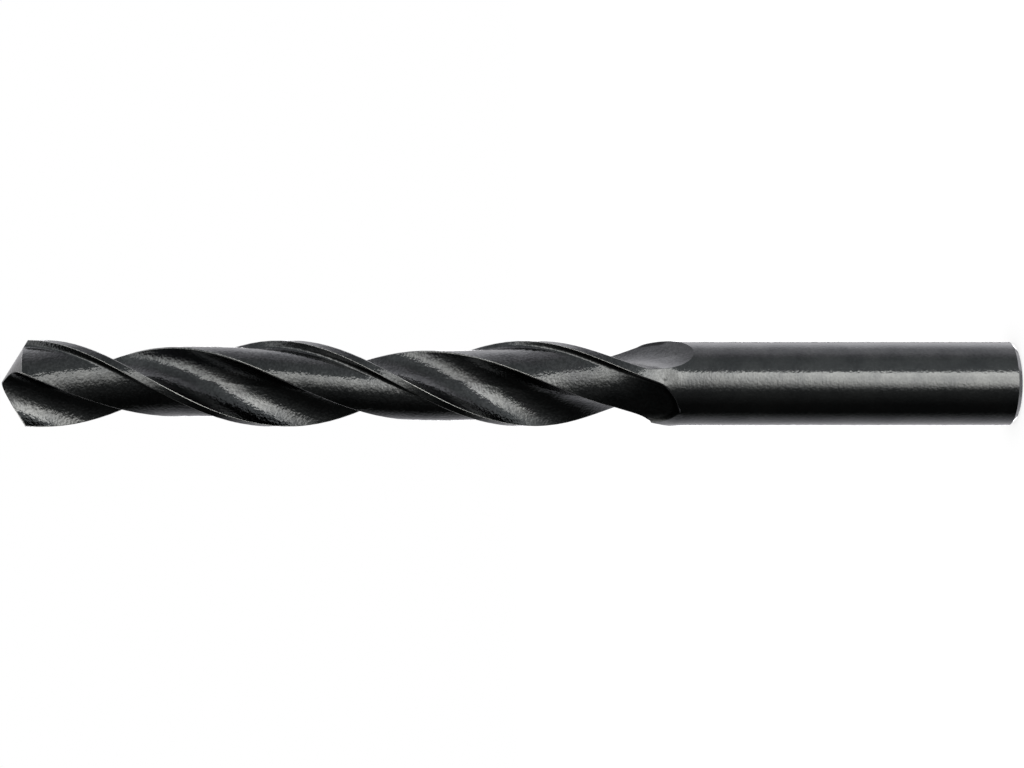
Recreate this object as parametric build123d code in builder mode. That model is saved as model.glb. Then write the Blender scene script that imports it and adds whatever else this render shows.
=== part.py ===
from build123d import *
from math import cos, degrees, pi, radians, sin, sqrt, tan
import os

# Twist drill bit, one piece of high-speed steel.  All sizes in millimetres and degrees.
# The drill stands on the flat end of its shank at height 0 and its axis is Z, with the point up.
# It is made as the real one is: a turned blank, two flutes and two clearances cut along a
# right-hand helix, each with a run-out where its cutter leaves the steel, and then the point.

# Blank
overall_length = 151.0
drill_diameter = 13.0
body_end_diameter = 12.65
body_end_height = 50.5
shank_diameter = 12.5
shank_height = 47.5
shank_chamfer = 0.65

# Helix
helix_angle = 29.0
lip_direction = 30.8
fade_height = 64.5
twist_fade = 0.08

# Flutes, in the section square to the axis
web_thickness = 1.9
web_taper = 1.9
web_direction = 49.0
full_width_floor = 3.6
heel_directions = (92.0, 97.0)
heel_bevel_depth = 0.15
heel_bevel_angle = 2.0
heel_rise = 0.85
flute_end_height = 47.4
flute_wheel_radius = 45.0

# Margins and body clearances
margin_angle = 11.0
clearance_radii = (4.95, 5.45)
clearance_front_radii = (5.3, 5.05)
clearance_corner = 0.5
clearance_middle = 47.0
clearance_heel = 99.0
clearance_heel_blend = 12.0
clearance_end_height = 50.0
clearance_wheel_radius = 12.5
clearance_side_round = 3.2
clearance_heel_round = 12.0
clearance_flat_height = 54.5
clearance_flat_fade = 5.0

# Point
point_angle = 118.0
flank_tilt = 13.8
flank_apex_back = 0.32
flank_apex_ahead = -0.49

# Derived sizes
body_radius = drill_diameter / 2
shank_radius = shank_diameter / 2
body_end_radius = body_end_diameter / 2
lead = pi * drill_diameter / tan(radians(helix_angle))
turn_per_mm = 360 / lead
flute_depth = body_end_radius - web_thickness / 2 - web_taper / 2
run_out_length = sqrt(flute_wheel_radius**2 - (flute_wheel_radius - flute_depth) ** 2)
run_out_height = flute_end_height + run_out_length
cutter_top = overall_length + 2
outside = drill_diameter * 0.7


def polar(radius, angle):
    """Point of a section at this distance from the axis, measured ahead of the lip corner."""
    return (radius * cos(radians(angle)), radius * sin(radians(angle)))


def turn(height):
    """Direction of the lip corner at this height.  The twist slackens below fade_height."""
    slack = twist_fade * max(0, fade_height - height) ** 2
    return lip_direction - turn_per_mm * (overall_length - height) + slack


def flute_floor(height):
    """Distance of the flute floor from the axis at this height."""
    taper = web_taper / 2 * (overall_length - height) / (overall_length - run_out_height)
    past = max(0, run_out_height - height)
    return web_thickness / 2 + taper + flute_wheel_radius - sqrt(flute_wheel_radius**2 - past**2)


def clearance_lift(height, radius):
    """How far the clearance floor has moved out from this land radius as its wheel lifts off."""
    depth = body_end_radius - radius
    lift_length = sqrt(clearance_wheel_radius**2 - (clearance_wheel_radius - depth) ** 2)
    past = max(0, clearance_end_height + lift_length - height)
    return clearance_wheel_radius - sqrt(clearance_wheel_radius**2 - past**2)


def clearance_flatness(height):
    """0 along the land, near 1 at its end, where it is flat behind the margin."""
    progress = min(1, max(0, 1 - (height - clearance_flat_height) / clearance_flat_fade))
    return 0.97 * progress**2 * (3 - 2 * progress)


def clearance_opening(height, length):
    """Share of the clearance's width still open at this height, where this length is rounded."""
    past = min(0.97, max(0, 1 - (height - clearance_end_height) / length))
    return (1 - past**2) ** 0.7


def section_plane(height, shift=0):
    """Plane square to the axis, turned with the helix and moved off the axis over the web."""
    away = radians(turn(height) + web_direction)
    x_dir = polar(1, turn(height))
    origin = (shift * cos(away), shift * sin(away), height)
    return Plane(origin=origin, x_dir=(x_dir[0], x_dir[1], 0), z_dir=(0, 0, 1))


def stations(top, bottom, count):
    """Evenly spaced heights from top to bottom."""
    return [top + (bottom - top) * i / count for i in range(count + 1)]


def flute_cutter(heel_direction, land_radius):
    """Cutter of the flute ahead of one lip, which ends at the heel of the other land.

    Its section is one arc from the floor up to the lip, one up to the heel, and a small bevel on
    the heel.  As the floor rises the arcs flatten, and past full_width_floor the section moves out
    as it is, so that the flute narrows to its end.
    """
    heights = stations(cutter_top, fade_height, 24)
    heights += stations(fade_height, flute_end_height - 0.9, 14)[1:]
    with BuildPart() as cutter:
        for height in heights:
            floor = min(flute_floor(height), full_width_floor)
            heel_radius = land_radius - heel_bevel_depth
            heel_radius += heel_rise * max(0, floor - full_width_floor + 1)
            floor_point = polar(floor, web_direction)
            heel_point = polar(heel_radius, heel_direction)
            bevel_edge = polar(heel_radius + heel_bevel_depth + 0.05, heel_direction + heel_bevel_angle)
            with BuildSketch(section_plane(height, flute_floor(height) - floor)):
                with BuildLine():
                    lip_arc = TangentArc(floor_point, (body_radius, 0), tangent=polar(1, web_direction - 90))
                    TangentArc(floor_point, heel_point, tangent=polar(1, web_direction + 90))
                    Polyline(
                        lip_arc @ 1,
                        lip_arc @ 1 + (lip_arc % 1) * (outside - body_radius),
                        polar(1.4 * outside, web_direction),
                        polar(outside, heel_direction + heel_bevel_angle + 3),
                        bevel_edge,
                        heel_point,
                    )
                make_face()
        loft()
    return cutter.part


def clearance_cutter(radius, front_radius):
    """Cutter that takes one land down, leaving the margin at full diameter.

    The land goes from the front radius beside the margin to this radius at the heel.  Near its
    end it flattens behind the margin, and the cut narrows to a rounded end as its floor rises out
    of the blank.
    """
    heights = stations(cutter_top, fade_height, 24)
    heights += stations(fade_height, clearance_end_height - 0.4, 24)[1:]
    with BuildPart() as cutter:
        for height in heights:
            side_opening = clearance_opening(height, clearance_side_round)
            heel_opening = clearance_opening(height, clearance_heel_round)
            side = (clearance_middle - margin_angle) * side_opening - clearance_middle
            heel = (clearance_middle - clearance_heel) * heel_opening - clearance_middle
            toe = heel + min(clearance_heel_blend, 0.4 * (side - heel))
            middle = (side + toe) / 2
            floor = radius + clearance_lift(height, radius)
            flatness = clearance_flatness(height)
            rise = (1 - flatness) * (front_radius / radius - 1)
            rise += flatness * (1 / cos(radians(side - middle)) - 1)
            side_floor = floor * (1 + rise)
            corner = clearance_corner * side_opening
            corner_end = polar(side_floor, side - 1 - degrees(corner / side_floor))
            heel_rim = polar(max(body_end_radius, floor) + 0.3, heel)
            with BuildSketch(section_plane(height)):
                with BuildLine():
                    wall = Line(polar(outside, side + 1), polar(side_floor + corner, side - 1))
                    TangentArc(wall @ 1, corner_end, tangent=polar(-1, side - 1))
                    land = ThreePointArc(corner_end, polar(floor, middle), polar(floor, toe))
                    TangentArc(land @ 1, heel_rim, tangent=land % 1)
                    Polyline(
                        heel_rim,
                        polar(outside, heel),
                        polar(1.5 * outside, (side + heel) / 2),
                        polar(outside, side + 1),
                    )
                make_face()
        loft()
    return cutter.part


# Solid below one flank of the point: a wide cone whose tip lies behind the axis, tilted so that
# the steel falls away behind the lip.  The two flanks meet in the chisel edge.
# Its tip stands above the chisel edge by the height that brings the cone through the drill axis
# at overall_length, which is the larger root of a quadratic in that height.
flank_size = overall_length + 40
flank_slope = tan(radians(point_angle / 2))
tilt_sin = sin(radians(flank_tilt))
tilt_cos = cos(radians(flank_tilt))
term_2 = tilt_cos**2 - (tilt_sin / flank_slope) ** 2
term_1 = -2 * flank_apex_ahead * tilt_sin * tilt_cos * (1 + 1 / flank_slope**2)
term_0 = (flank_apex_ahead * tilt_sin) ** 2
term_0 -= (flank_apex_back**2 + (flank_apex_ahead * tilt_cos) ** 2) / flank_slope**2
drop_at_axis = (-term_1 + sqrt(term_1**2 - 4 * term_2 * term_0)) / (2 * term_2)

with BuildPart() as flank:
    with BuildSketch(Plane.XZ):
        with BuildLine():
            Polyline((0, 0), (flank_size * flank_slope, -flank_size), (0, -flank_size), close=True)
        make_face()
    revolve(axis=Axis.Z)

flank_body = flank.part.rotate(Axis.X, flank_tilt)
flank_body = flank_body.translate((-flank_apex_back, flank_apex_ahead, overall_length + drop_at_axis))

# The drill
with BuildPart() as drill_bit:
    with BuildSketch(Plane.YZ):
        with BuildLine():
            Polyline(
                (0, 0),
                (shank_radius - shank_chamfer, 0),
                (shank_radius, shank_chamfer),
                (shank_radius, shank_height),
                (body_end_radius, body_end_height),
                (body_radius, overall_length),
                (0, overall_length),
                close=True,
            )
        make_face()
    revolve(axis=Axis.Z)
    for side in (0, 1):
        cutter = clearance_cutter(clearance_radii[side], clearance_front_radii[side])
        add(cutter.rotate(Axis.Z, 180 * side), mode=Mode.SUBTRACT)
    for side in (0, 1):
        cutter = flute_cutter(heel_directions[side], clearance_radii[1 - side])
        add(cutter.rotate(Axis.Z, 180 * side), mode=Mode.SUBTRACT)
    for side in (0, 1):
        add(flank_body.rotate(Axis.Z, 180 * side), mode=Mode.INTERSECT)

drill_bit.part.label = "drill_bit"
os.makedirs("parts", exist_ok=True)
export_step(drill_bit.part, "parts/drill_bit.step")
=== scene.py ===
import math

import bpy
from mathutils import Matrix

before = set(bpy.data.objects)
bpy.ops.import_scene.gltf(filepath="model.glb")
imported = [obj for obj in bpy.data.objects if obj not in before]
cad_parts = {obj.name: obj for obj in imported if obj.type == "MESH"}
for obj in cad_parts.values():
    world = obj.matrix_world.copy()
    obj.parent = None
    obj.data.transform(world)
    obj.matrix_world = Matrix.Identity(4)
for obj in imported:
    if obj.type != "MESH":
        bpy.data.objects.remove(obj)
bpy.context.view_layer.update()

scene = bpy.context.scene
scene.view_settings.view_transform = "Standard"

# The drill, as in its source: millimetres and degrees
LENGTH = 151.0
LIP_DIRECTION = 30.8
TURN_PER_MM = 4.886
FADE_HEIGHT = 64.5
TWIST_FADE = 0.08
MM_PER_METRE = (1000, 1000, 1000)

# Camera.  The photograph lies on its side: its top is the drill's +X and its right is the shank end.
PHOTO_WIDTH = 1024
FOCAL_PIXELS = 1858.0
SENSOR_WIDTH = 36
CAMERA_DISTANCE = 0.2776
CAMERA_HEIGHT = 0.07477
CAMERA_SIDE = -0.00007

camera = bpy.data.objects.new("camera", bpy.data.cameras.new("camera"))
scene.collection.objects.link(camera)
camera.data.sensor_width = SENSOR_WIDTH
camera.data.lens = SENSOR_WIDTH * FOCAL_PIXELS / PHOTO_WIDTH
camera.data.clip_start = 0.01
camera.location = (CAMERA_SIDE, -CAMERA_DISTANCE, CAMERA_HEIGHT)
camera.rotation_mode = "QUATERNION"
camera.rotation_quaternion = Matrix(((0, 1, 0), (0, 0, -1), (-1, 0, 0))).to_quaternion()
scene.camera = camera


# Node helpers.  A value is a number, a tuple or another node's output.
class Tree:
    def __init__(self, name, world=False):
        self.block = bpy.data.worlds.new(name) if world else bpy.data.materials.new(name)
        self.block.use_nodes = True
        self.nodes = self.block.node_tree.nodes
        self.links = self.block.node_tree.links
        self.nodes.clear()

    def add(self, kind, inputs=None, **settings):
        made = self.nodes.new("ShaderNode" + kind)
        for key, value in settings.items():
            setattr(made, key, value)
        for key, value in (inputs or {}).items():
            if isinstance(value, bpy.types.NodeSocket):
                self.links.new(value, made.inputs[key])
            else:
                made.inputs[key].default_value = value
        return made

    def calc(self, operation, *values):
        return self.add("Math", dict(enumerate(values)), operation=operation).outputs[0]

    def product(self, first, *others):
        """Product of numbers."""
        for other in others:
            first = self.calc("MULTIPLY", first, other)
        return first

    def vector(self, operation, first, second):
        return self.add("VectorMath", {0: first, 1: second}, operation=operation).outputs[0]

    def scale(self, vector, factor):
        return self.add("VectorMath", {0: vector, "Scale": factor}, operation="SCALE").outputs[0]

    def noise(self, vector, per_unit, detail=2.0, roughness=0.5):
        """Noise with this many features to the unit along X, Y and Z."""
        stretched = self.vector("MULTIPLY", vector, per_unit)
        inputs = {"Vector": stretched, "Scale": 1.0, "Detail": detail, "Roughness": roughness}
        return self.add("TexNoise", inputs).outputs[0]

    def slope(self, value, low, high, start=0.0, end=1.0, kind="LINEAR"):
        """Straight line from start at low to end at high, and level beyond them."""
        inputs = {"Value": value, "From Min": low, "From Max": high, "To Min": start, "To Max": end}
        return self.add("MapRange", inputs, interpolation_type=kind).outputs[0]

    def step(self, value, low, high, start=0.0, end=1.0):
        """Smooth step from start at low to end at high."""
        return self.slope(value, low, high, start, end, "SMOOTHSTEP")

    def window(self, value, low, low_full, high_full, high):
        """1 between the two inner limits, 0 outside the two outer ones, and smooth between."""
        return self.product(self.step(value, low, low_full), self.step(value, high_full, high, 1.0, 0.0))

    def ramp(self, value, low, high, stops):
        """Colour ramp from (position, colour) stops, with positions in the value's own units."""
        made = self.add("ValToRGB", {0: self.slope(value, low, high)})
        elements = made.color_ramp.elements
        while len(elements) < len(stops):
            elements.new(0.5)
        for element, (position, colour) in zip(elements, stops):
            element.position = (position - low) / (high - low)
            element.color = colour
        return made.outputs[0]

    def mix(self, factor, first, second, kind="RGBA"):
        """Blend of two colours, or of what kind says."""
        one, two, result = {"FLOAT": (2, 3, 0), "VECTOR": (4, 5, 1), "RGBA": (6, 7, 2)}[kind]
        return self.add("Mix", {0: factor, one: first, two: second}, data_type=kind).outputs[result]

    def blend(self, factor, first, second):
        """Blend of two numbers."""
        return self.mix(factor, first, second, "FLOAT")

    def seen(self):
        """1 for the camera, glossy and transmission rays, 0 for the others."""
        path = self.add("LightPath").outputs
        both = self.calc("MAXIMUM", path["Is Camera Ray"], path["Is Glossy Ray"])
        return self.calc("MAXIMUM", both, path["Is Transmission Ray"])

    def finish(self, shader, kind="OutputMaterial"):
        self.add(kind, {"Surface": shader.outputs[0]})
        return self.block


# World: white for the camera and in reflections, and a plain soft fill on everything else
WORLD_FILL = 0.9

tree = Tree("studio", world=True)
strength = tree.calc("MAXIMUM", tree.seen(), WORLD_FILL)
background = tree.add("Background", {"Color": (1, 1, 1, 1), "Strength": strength})
scene.world = tree.finish(background, "OutputWorld")

# Studio wall round the drill, seen by reflections only.  Its brightness goes by height, in metres,
# and by the direction round Z, in degrees from the camera towards +X.
WALL_RADIUS = 0.9
WALL_LOW = -2.0
WALL_HIGH = 2.2
WALL_STEPS = 96
WALL_PEAK = 5.0

WHITE = (0.995, 0.985, 1.02)
GREY = (0.95, 1.0, 1.0)
BLACK = (1.0, 1.03, 1.0)
LAMP = (1.02, 1.0, 0.94)

# Panels all round: direction, brightness and tint
PANELS = [
    (-180, 1.6, WHITE), (-166, 1.6, WHITE), (-156, 0.9, WHITE), (-140, 0.9, WHITE),
    (-125, 0.78, WHITE), (-112, 0.5, WHITE), (-97, 0.14, BLACK), (-88, 0.03, BLACK),
    (-60, 0.035, BLACK), (-45, 0.07, BLACK), (-25, 0.15, BLACK), (0, 0.35, BLACK),
    (31, 0.7, GREY), (45, 0.6, GREY), (72, 0.5, GREY), (82, 0.6, WHITE),
    (93, 1.0, WHITE), (110, 1.2, WHITE), (122, 1.85, WHITE), (138, 1.85, WHITE),
    (154, 1.0, WHITE), (166, 1.6, WHITE), (180, 1.6, WHITE),
]
# Height and the share of the panels' brightness there, which PANEL_GAIN then multiplies
PANEL_SHARES = [
    (-2.0, 0.8), (-0.3, 0.5), (-0.05, 0.48), (0.1, 0.42), (0.35, 0.34), (0.6, 0.4), (0.8, 0.5), (1.1, 0.5),
]
PANEL_GAIN = 2.0

# Soft box in front, on the camera's +X side: height and brightness
BOX_LEVELS = [
    (-2.0, 0.1), (-1.2, 0.2), (-0.9, 0.6), (-0.75, 1.3), (-0.6, 2.1), (-0.42, 3.4), (-0.3, 4.0),
    (-0.1, 4.0), (-0.03, 2.9), (0.04, 2.3), (0.9, 2.3), (1.2, 0.7), (2.2, 0.4),
]
# It fades in from BOX_START to a direction that moves with height, and ends sharply at BOX_END
BOX_START = -18.0
BOX_FADE_HEIGHTS = (-0.27, -0.03)
BOX_FADE_ENDS = (3.0, 24.0)
BOX_END = (30.5, 32.5)
BOX_BRIGHTER = (14.0, 26.0, 0.95, 1.15)

# Behind the drill a lamp stands between two dark flags, below the height that the point reflects
FLAG_LIMITS = (159.0, 161.0, 166.0, 168.0)
FLAG_DIMMING = -0.8
BACK_LAMP = (166.0, 169.0, 0.0, 1.3)
BACK_TOP = (0.45, 0.6, 1.0, 0.0)


def level(brightness, tint):
    """Ramp colour of this brightness, which WALL_PEAK brings back up in the emission."""
    return [brightness / WALL_PEAK * part for part in tint] + [1]


points = []
for height in (WALL_LOW, WALL_HIGH):
    for i in range(WALL_STEPS):
        angle = 2 * math.pi * i / WALL_STEPS
        points.append((WALL_RADIUS * math.sin(angle), -WALL_RADIUS * math.cos(angle), height))
faces = []
for i in range(WALL_STEPS):
    after = (i + 1) % WALL_STEPS
    faces.append((i, after, after + WALL_STEPS, i + WALL_STEPS))
mesh = bpy.data.meshes.new("studio_wall")
mesh.from_pydata(points, [], faces)

tree = Tree("studio_wall")
east, north, up = tree.add("SeparateXYZ", {0: tree.add("TexCoord").outputs["Object"]}).outputs
around = tree.calc("DEGREES", tree.calc("ARCTAN2", east, tree.product(north, -1.0)))
apart = tree.calc("ABSOLUTE", around)

panels = tree.ramp(around, -180, 180, [(at, level(bright, tint)) for at, bright, tint in PANELS])
shares = tree.ramp(up, WALL_LOW, WALL_HIGH, [(at, (share, share, share, 1)) for at, share in PANEL_SHARES])
panels = tree.vector("MULTIPLY", panels, shares)
panels = tree.scale(panels, PANEL_GAIN)
behind = tree.product(tree.window(apart, *FLAG_LIMITS), FLAG_DIMMING)
behind = tree.calc("ADD", behind, tree.step(apart, *BACK_LAMP))
behind = tree.product(behind, tree.step(up, *BACK_TOP))
panels = tree.scale(panels, tree.calc("ADD", behind, 1.0))

box_levels = tree.ramp(up, WALL_LOW, WALL_HIGH, [(at, level(bright, LAMP)) for at, bright in BOX_LEVELS])
fade_end = tree.slope(up, *BOX_FADE_HEIGHTS, *BOX_FADE_ENDS)
box = tree.window(around, BOX_START, fade_end, *BOX_END)
box = tree.product(box, tree.step(around, *BOX_BRIGHTER))
box = tree.scale(box_levels, box)

total = tree.vector("ADD", panels, box)
mesh.materials.append(tree.finish(tree.add("Emission", {"Color": total, "Strength": WALL_PEAK})))
wall = bpy.data.objects.new("studio_wall", mesh)
scene.collection.objects.link(wall)
wall.visible_camera = False
wall.visible_diffuse = False
wall.visible_shadow = False

# Floor: pale, with the drill's soft shadow, and near white to the camera
FLOOR_SIZE = 40
FLOOR_COLOUR = (0.35, 0.35, 0.35, 1)
FLOOR_GLOW = 0.75

bpy.ops.mesh.primitive_plane_add(size=FLOOR_SIZE, location=(0, 0, 0))
floor = bpy.context.active_object
floor.name = "floor"
tree = Tree("floor")
diffuse = tree.add("BsdfDiffuse", {"Color": FLOOR_COLOUR})
glow = tree.add("Emission", {"Color": (1, 1, 1, 1), "Strength": tree.product(tree.seen(), FLOOR_GLOW)})
floor.data.materials.append(tree.finish(tree.add("AddShader", {0: diffuse.outputs[0], 1: glow.outputs[0]})))
floor.visible_glossy = False

# Black oxide steel.  Fine rings run round the shank, and the lands and flutes have a granular
# speckle.  Heights and radii are in millimetres, angles in degrees, and facing and bend are cosines.
OXIDE_DARK = (0.064, 0.066, 0.069, 1)
OXIDE_LIGHT = (0.088, 0.090, 0.092, 1)
GROUND_STEEL = (0.085, 0.085, 0.083, 1)
WORN_EDGE = (0.40, 0.40, 0.395, 1)

OXIDE_ROUGHNESS = (0.08, 0.15)
GROUND_ROUGHNESS = 0.35
WORN_ROUGHNESS = 0.30

RINGS_PER_MM = (0.7, 0.7, 4.0)
SPECKLE_PER_MM = (2.7, 2.7, 2.7)
WAVES_PER_MM = (0.6, 0.6, 0.6)
BLOTCHES_PER_MM = (0.25, 0.25, 0.25)
NOISE_RANGE = (0.3, 0.7)
SHANK_FLECKS = (0.92, 1.08)
FLUTED_FLECKS = (0.82, 1.2)

# Relief: strength of each noise, the share left in the run-outs, and the depth of it all in metres
SHANK_SPECKLE = 0.6
SHANK_RINGS = 0.3
FLUTED_WAVES = 0.4
FLUTED_SPECKLE = 1.5
RUN_OUT_SHARE = 0.3
RELIEF_DEPTH = 0.00003

# Where each finish starts and where it is full
FLUTED_START = (36.0, 42.0)
RUN_OUT = (54.0, 60.0)
POINT_HEIGHTS = (146.0, 146.2)
POINT_FACING = (0.62, 0.66)

# Edges: radius of the rounding in metres, and where bare metal shows along them
EDGE_RADIUS = 0.00016
EDGE_SAMPLES = 8
ROUNDED_HEIGHTS = (50.0, 56.0)
EDGE_BEND = (0.999, 0.96)
EDGE_PATCHES = (0.35, 0.6, 0.6, 1.0)
WORN_RADII = (3.5, 4.2)
WORN_HEIGHTS = (53.0, 60.0)

# Painted shade on the wall that ends each clearance: its colour is darkened where the step lies in shade
PAINTED_SHADE_ANGLES = (-101, -97, -6, -3)
PAINTED_SHADE_RADII = (5.6, 5.9, 6.21, 6.27)
PAINTED_SHADE_HEIGHTS = (49.6, 49.9, 54.0, 58.0)
PAINTED_SHADE_STRENGTH = 0.7

tree = Tree("black_oxide_steel")
coords = tree.add("TexCoord").outputs
place = tree.vector("MULTIPLY", coords["Object"], MM_PER_METRE)
height = tree.add("SeparateXYZ", {0: place}).outputs[2]

# Position in the section square to the axis, turned back by the helix
slack = tree.calc("MAXIMUM", tree.calc("SUBTRACT", FADE_HEIGHT, height), 0.0)
turn = tree.calc("MULTIPLY_ADD", height, TURN_PER_MM, LIP_DIRECTION - TURN_PER_MM * LENGTH)
turn = tree.calc("RADIANS", tree.calc("ADD", turn, tree.product(slack, slack, TWIST_FADE)))
inputs = {"Vector": place, "Angle": tree.product(turn, -1.0)}
section = tree.add("VectorRotate", inputs, rotation_type="Z_AXIS").outputs[0]
across, ahead, _ = tree.add("SeparateXYZ", {0: section}).outputs
radius = tree.calc("SQRT", tree.calc("ADD", tree.product(across, across), tree.product(ahead, ahead)))
# Both sides of the drill share one range: 0 at the lip corner, the land down to -99, the flute above
angle = tree.calc("DEGREES", tree.calc("ARCTAN2", ahead, across))
angle = tree.calc("FLOORED_MODULO", tree.calc("ADD", angle, 120.0), 180.0)
angle = tree.calc("SUBTRACT", angle, 120.0)

# 1 on the fluted body and 0 on the shank.  The change lies lower where the steel is nearer the axis.
fluted = tree.step(tree.calc("ADD", height, tree.product(radius, -2.0)), *FLUTED_START)
facing = tree.add("SeparateXYZ", {0: coords["Normal"]}).outputs[2]
point = tree.product(tree.step(facing, *POINT_FACING), tree.step(height, *POINT_HEIGHTS))

rings = tree.noise(place, RINGS_PER_MM, 1.0)
speckle = tree.noise(place, SPECKLE_PER_MM, 1.0)
waves = tree.noise(place, WAVES_PER_MM)
blotches = tree.noise(place, BLOTCHES_PER_MM, 3.0, 0.6)

shank_relief = tree.calc("MULTIPLY_ADD", speckle, SHANK_SPECKLE, tree.product(rings, SHANK_RINGS))
fluted_relief = tree.calc("MULTIPLY_ADD", waves, FLUTED_WAVES, tree.product(speckle, FLUTED_SPECKLE))
full_relief = tree.calc("MULTIPLY_ADD", tree.step(height, *RUN_OUT), 1.0 - RUN_OUT_SHARE, RUN_OUT_SHARE)
relief = tree.blend(fluted, shank_relief, tree.product(fluted_relief, full_relief))

# Every edge is a little rounded, and bare metal shows along it where the black is rubbed off
plain = tree.add("NewGeometry").outputs["Normal"]
rounded = tree.add("Bevel", {"Radius": EDGE_RADIUS}, samples=EDGE_SAMPLES).outputs[0]
rounded = tree.mix(tree.step(height, *ROUNDED_HEIGHTS), plain, rounded, "VECTOR")
inputs = {"Strength": 1.0, "Distance": RELIEF_DEPTH, "Height": relief, "Normal": rounded}
bump = tree.add("Bump", inputs).outputs[0]
bend = tree.add("VectorMath", {0: rounded, 1: plain}, operation="DOT_PRODUCT").outputs["Value"]
edge = tree.product(
    tree.step(bend, *EDGE_BEND),
    tree.step(speckle, *EDGE_PATCHES),
    tree.step(radius, *WORN_RADII),
    tree.step(height, *WORN_HEIGHTS),
)

# Painted shade: a darkening of the colour on the step wall at each clearance end
painted_shade = tree.product(
    tree.window(angle, *PAINTED_SHADE_ANGLES),
    tree.window(radius, *PAINTED_SHADE_RADII),
    tree.window(height, *PAINTED_SHADE_HEIGHTS),
    PAINTED_SHADE_STRENGTH,
)
shank_flecks = tree.step(speckle, *NOISE_RANGE, *SHANK_FLECKS)
fluted_flecks = tree.step(speckle, *NOISE_RANGE, *FLUTED_FLECKS)
# The flecks also carry the painted shade of the clearance-end walls
flecks = tree.product(tree.blend(fluted, shank_flecks, fluted_flecks), tree.calc("SUBTRACT", 1.0, painted_shade))
oxide = tree.mix(tree.step(blotches, *NOISE_RANGE), OXIDE_DARK, OXIDE_LIGHT)
colour = tree.mix(point, tree.scale(oxide, flecks), GROUND_STEEL)
colour = tree.mix(edge, colour, WORN_EDGE)
roughness = tree.step(speckle, *NOISE_RANGE, *OXIDE_ROUGHNESS)
roughness = tree.blend(point, roughness, GROUND_ROUGHNESS)
roughness = tree.blend(edge, roughness, WORN_ROUGHNESS)
inputs = {"Base Color": colour, "Metallic": 1.0, "Roughness": roughness, "Normal": bump}
steel = tree.finish(tree.add("BsdfPrincipled", inputs))

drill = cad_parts["drill_bit"]
for slot in drill.material_slots:
    slot.material = steel
